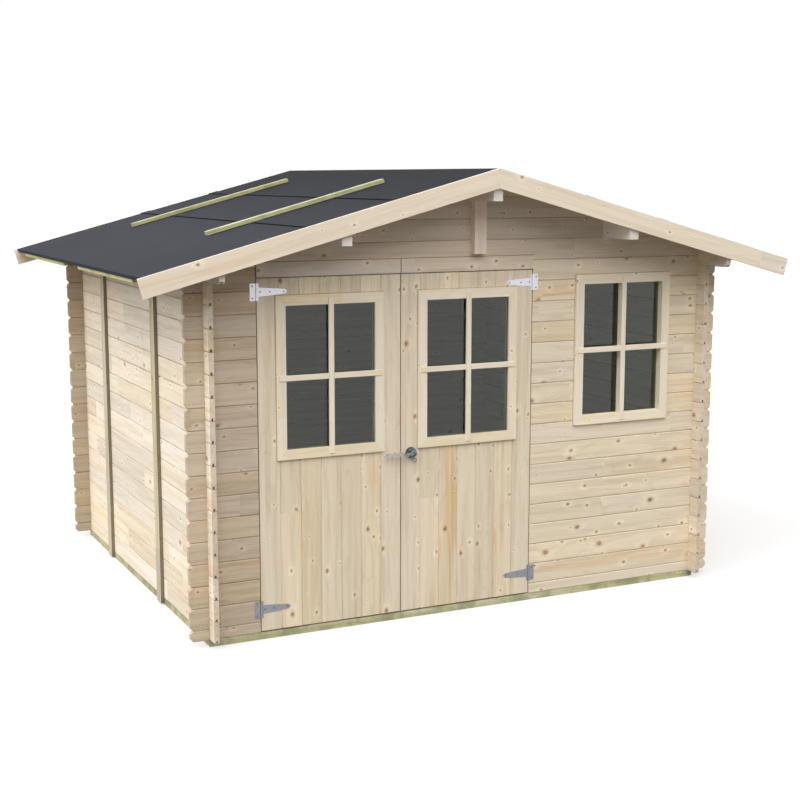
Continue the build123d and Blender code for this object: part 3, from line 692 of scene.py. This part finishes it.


# Lever handle
# A round rose on the right leaf carries a flat steel lever that laps over the left leaf. Both are
# darker at the hub. A key hangs from the lock under the hub.

rose_low, rose_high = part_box("lock_rose")
rose_middle = (rose_low + rose_high) / 2
n = Nodes("satin steel")
brush = n.noise(n.vector("MULTIPLY", n.place, (40.0, 900.0, 900.0)), 1.0, 2.0)
worn = n.noise(n.place, 70.0, 2.0)
dark_steel = n.mix(n.fit(worn, 0.38, 0.68), (0.06, 0.07, 0.075, 1), (0.26, 0.30, 0.32, 1))
bright_steel = n.mix(n.fit(brush, 0.3, 0.7), (0.20, 0.195, 0.19, 1), (0.50, 0.48, 0.46, 1))
from_hub = n.vector("SUBTRACT", n.place, rose_middle)
from_hub = n.vector("LENGTH", n.vector("MULTIPLY", from_hub, (1.0, 0.0, 1.0)))
n.feed(n.shader.inputs["Base Color"], n.mix(n.fit(from_hub, 0.045, 0.065), dark_steel, bright_steel))
n.shader.inputs["Metallic"].default_value = 1.0
n.feed(n.shader.inputs["Roughness"], n.fit(brush, 0.3, 0.7, 0.28, 0.42))
n.bump(brush, 0.1, 0.0003)
steel = n.material
dress(steel, "lock_rose", "lever_handle")

key_width = 0.005
key_thickness = 0.002
key_length = 0.022
bow_radius = 0.0075
bow_wire = 0.0022
key_seat = (rose_middle.x + 0.011, rose_low.y, rose_middle.z - 0.016)
key_lean = math.radians(-22)
key = add_box((-key_width / 2, -key_thickness, -key_length), (key_width / 2, 0.0, 0.0))
pick_edges(key, lambda co: co.y < -key_thickness / 2)
bpy.ops.mesh.bevel(offset=0.0007, segments=1)
bpy.ops.object.mode_set(mode="OBJECT")
bpy.ops.object.select_all(action="DESELECT")
bpy.ops.mesh.primitive_torus_add(major_segments=20, minor_segments=8, major_radius=bow_radius,
                                 minor_radius=bow_wire, location=(0, 0, 0))
bpy.ops.object.mode_set(mode="EDIT")
bpy.ops.transform.rotate(value=math.pi / 2, orient_axis="X", center_override=(0, 0, 0))
bpy.ops.transform.resize(value=(1.0, 0.45, 1.15), center_override=(0, 0, 0))
bpy.ops.transform.translate(value=(0, -key_thickness / 2, -key_length - 0.007))
bpy.ops.object.mode_set(mode="OBJECT")
key.select_set(True)
bpy.context.view_layer.objects.active = key
bpy.ops.object.join()
key.name = "door_key"
key.data.transform(Matrix.Translation(key_seat) @ Matrix.Rotation(key_lean, 4, "Y"))
key.data.materials.append(steel)
bpy.ops.object.shade_smooth_by_angle(angle=math.radians(35))
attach(key, "right_leaf")


# Studio
# A white floor and background under soft light: a dim sky, a broad lamp on the left for the side wall,
# another in front, which leaves the gable in the shade of the roof, and a weak one behind.

bpy.ops.object.select_all(action="DESELECT")
bpy.ops.mesh.primitive_plane_add(size=60, location=(0, 0, -0.001))
floor = bpy.context.object
floor.name = "studio_floor"
n = Nodes("white floor")
seen = n.node("ShaderNodeLightPath")
shown = n.math("MAXIMUM", seen.outputs["Is Camera Ray"], seen.outputs["Is Glossy Ray"])
tint = n.mix(shown, (0.14, 0.14, 0.14, 1), (0.55, 0.55, 0.55, 1))
n.feed(n.shader.inputs["Base Color"], tint)
n.shader.inputs["Roughness"].default_value = 0.9
n.shader.inputs["Specular IOR Level"].default_value = 0.0
glow = n.node("ShaderNodeEmission")
n.feed(glow.inputs["Strength"], n.math("MULTIPLY", shown, 0.35))
both = n.node("ShaderNodeAddShader")
n.feed(both.inputs[0], n.shader.outputs["BSDF"])
n.feed(both.inputs[1], glow.outputs["Emission"])
n.feed(n.tree.nodes["Material Output"].inputs["Surface"], both.outputs["Shader"])
floor.data.materials.append(n.material)

world = bpy.data.worlds.new("studio")
bpy.context.scene.world = world
world.use_nodes = True
tree = world.node_tree
backdrop = tree.nodes["Background"]
heading = tree.nodes.new("ShaderNodeTexCoord")
parts = tree.nodes.new("ShaderNodeSeparateXYZ")
tree.links.new(heading.outputs["Generated"], parts.inputs["Vector"])
height = tree.nodes.new("ShaderNodeMapRange")
height.inputs["From Min"].default_value = 0.0
height.inputs["From Max"].default_value = 0.8
height.inputs["To Min"].default_value = 0.22
height.inputs["To Max"].default_value = 0.62
tree.links.new(parts.outputs["Z"], height.inputs["Value"])
path = tree.nodes.new("ShaderNodeLightPath")
shown = tree.nodes.new("ShaderNodeMath")
shown.operation = "MAXIMUM"
tree.links.new(path.outputs["Is Camera Ray"], shown.inputs[0])
tree.links.new(path.outputs["Is Glossy Ray"], shown.inputs[1])
through = tree.nodes.new("ShaderNodeMath")
through.operation = "MAXIMUM"
tree.links.new(shown.outputs["Value"], through.inputs[0])
tree.links.new(path.outputs["Is Transmission Ray"], through.inputs[1])
level = tree.nodes.new("ShaderNodeMix")
level.inputs[3].default_value = 1.0
tree.links.new(through.outputs["Value"], level.inputs["Factor"])
tree.links.new(height.outputs["Result"], level.inputs[2])
tree.links.new(level.outputs[0], backdrop.inputs["Strength"])
warmth = tree.nodes.new("ShaderNodeMix")
warmth.data_type = "RGBA"
warmth.inputs[6].default_value = (1.0, 0.94, 0.90, 1)
warmth.inputs[7].default_value = (1, 1, 1, 1)
tree.links.new(through.outputs["Value"], warmth.inputs["Factor"])
tree.links.new(warmth.outputs[2], backdrop.inputs["Color"])

lamps = (
    ("side_lamp", (-0.81, 0.06, 0.58), 2.6, 54),
    ("front_lamp", (-0.12, -0.60, 0.80), 2.5, 64),
    ("back_lamp", (0.75, 0.60, 0.25), 0.9, 60),
)
for name, toward_lamp, energy, spread in lamps:
    bpy.ops.object.light_add(type="SUN", rotation=Vector(toward_lamp).to_track_quat("Z", "Y").to_euler())
    lamp = bpy.context.object
    lamp.name = name
    lamp.data.energy = energy
    lamp.data.angle = math.radians(spread)

bpy.ops.object.camera_add(
    location=(-3.6316, -7.8208, 2.365),
    rotation=(math.radians(90 - 9.005), 0, math.radians(-25.77)),
)
camera = bpy.context.object
camera.name = "camera"
camera.data.lens = 63.43
camera.data.sensor_width = 36
bpy.context.scene.camera = camera
bpy.context.scene.view_settings.view_transform = "Standard"
